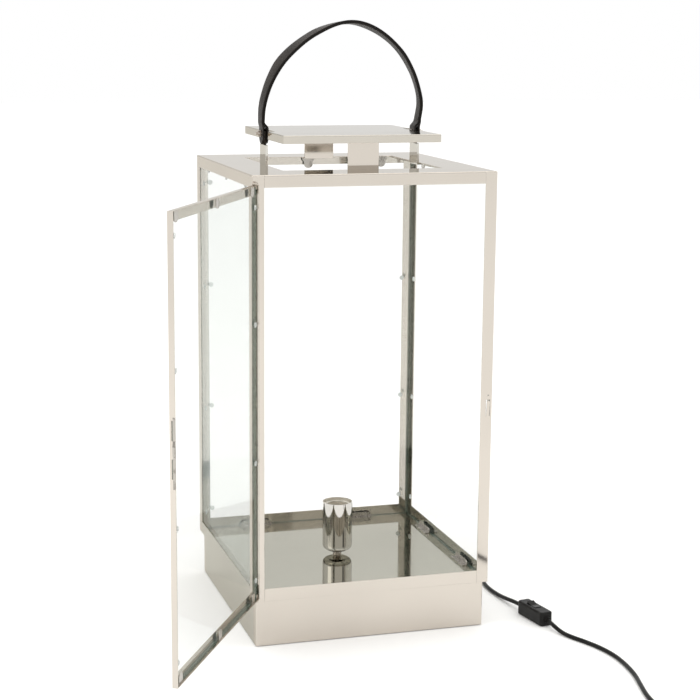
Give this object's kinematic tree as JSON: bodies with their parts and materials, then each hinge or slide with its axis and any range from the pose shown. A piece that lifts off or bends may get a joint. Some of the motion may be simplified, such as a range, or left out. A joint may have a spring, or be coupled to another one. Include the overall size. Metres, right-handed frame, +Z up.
{
  "type": "electric table lantern",
  "caption": "Tall glazed lantern in polished steel with a hinged glass door, a raised cap, a leather strap handle and an electric lamp holder on a corded switch.",
  "frame": {"origin": "on the floor, under the middle of the square base", "axes": "+X to the lantern's right seen from its door side, +Y from the door side to the back, +Z up; the door stands open in front, on the left"},
  "size_m": [0.5745, 0.7198, 0.7674],
  "materials": {
    "polished_steel": "mirror-polished stainless steel with fine wiping marks",
    "mirror_steel": "mirror-polished sheet, slightly wavy",
    "clip_steel": "bright punched steel",
    "plated_fasteners": "nickel plated, satin",
    "clear_glass": "clear float glass with green edges",
    "clear_silicone": "translucent silicone dots",
    "foam_pad": "matt black closed-cell foam",
    "strap_leather": "dark grey-brown leather, cut edges stained black",
    "ceramic": "glazed white ceramic",
    "brass_contacts": "bright brass",
    "fitting_plastic": "black moulded plastic, fine grain",
    "rocker_plastic": "smooth black plastic",
    "cord_sheath": "black PVC sheath",
    "tie_band": "black plastic-coated wire"
  },
  "bodies": {
    "lantern": {"base_front": "polished_steel", "base_back": "polished_steel", "base_right": "polished_steel", "base_left": "polished_steel", "base_floor": "polished_steel", "bottom_rail_front": "polished_steel", "bottom_rail_back": "polished_steel", "bottom_rail_right": "polished_steel", "bottom_rail_left": "polished_steel", "post_front_right": "polished_steel", "post_front_left": "polished_steel", "post_back_right": "polished_steel", "post_back_left": "polished_steel", "top_frame": "polished_steel", "cap_plate": "polished_steel", "cap_leg_front": "polished_steel", "cap_leg_back": "polished_steel", "handle_bar_right": "polished_steel", "handle_bar_left": "polished_steel", "holder_shell": "polished_steel", "hinge_lugs": "polished_steel", "mirror_tray": "mirror_steel", "glass_clips_top": "clip_steel", "glass_clips_bottom": "clip_steel", "base_screws": "plated_fasteners", "handle_bolts": "plated_fasteners", "handle_nuts": "plated_fasteners", "holder_nipple": "plated_fasteners", "holder_nuts": "plated_fasteners", "glass_right": "clear_glass", "glass_left": "clear_glass", "glass_back": "clear_glass", "pane_pads": "clear_silicone", "base_pad": "foam_pad", "holder_insert": "ceramic", "holder_screw_shell": "brass_contacts", "holder_contact": "brass_contacts", "plug_pins": "brass_contacts", "cord_gland": "fitting_plastic", "switch_base": "fitting_plastic", "switch_cover": "fitting_plastic", "plug_body": "fitting_plastic", "inner_lead": "cord_sheath", "cord_lead": "cord_sheath", "cord_tail": "cord_sheath", "cord_end": "cord_sheath", "cord_coil": "cord_sheath", "coil_tie": "tie_band"},
    "door": {"hinge_pins": "plated_fasteners", "door_stile_hinge": "polished_steel", "door_stile_latch": "polished_steel", "door_rail_top": "polished_steel", "door_rail_bottom": "polished_steel", "door_glass": "clear_glass", "door_clips": "clip_steel", "door_pads": "clear_silicone", "latch_spring": "clip_steel"},
    "handle": {"strap_outer_ply": "strap_leather", "strap_inner_ply": "strap_leather"},
    "rocker": {"switch_rocker": "rocker_plastic"}
  },
  "joints": [
    {"name": "door_hinge", "type": "hinge", "parent": "lantern", "child": "door", "pos_m": [-0.1516, -0.1646, 0.321], "axis": [0, 0, -1], "range_deg": [-120.5, 59.5]},
    {"name": "handle_swing", "type": "hinge", "parent": "lantern", "child": "handle", "pos_m": [0, 0, 0.6255], "axis": [1, 0, 0], "range_deg": [-50, 50]},
    {"name": "switch_rocker_tilt", "type": "hinge", "parent": "lantern", "child": "rocker", "pos_m": [0.22441, -0.15136, 0.0146], "axis": [0.9854, 0.1702, 0], "range_deg": [-15, 0]}
  ]
}
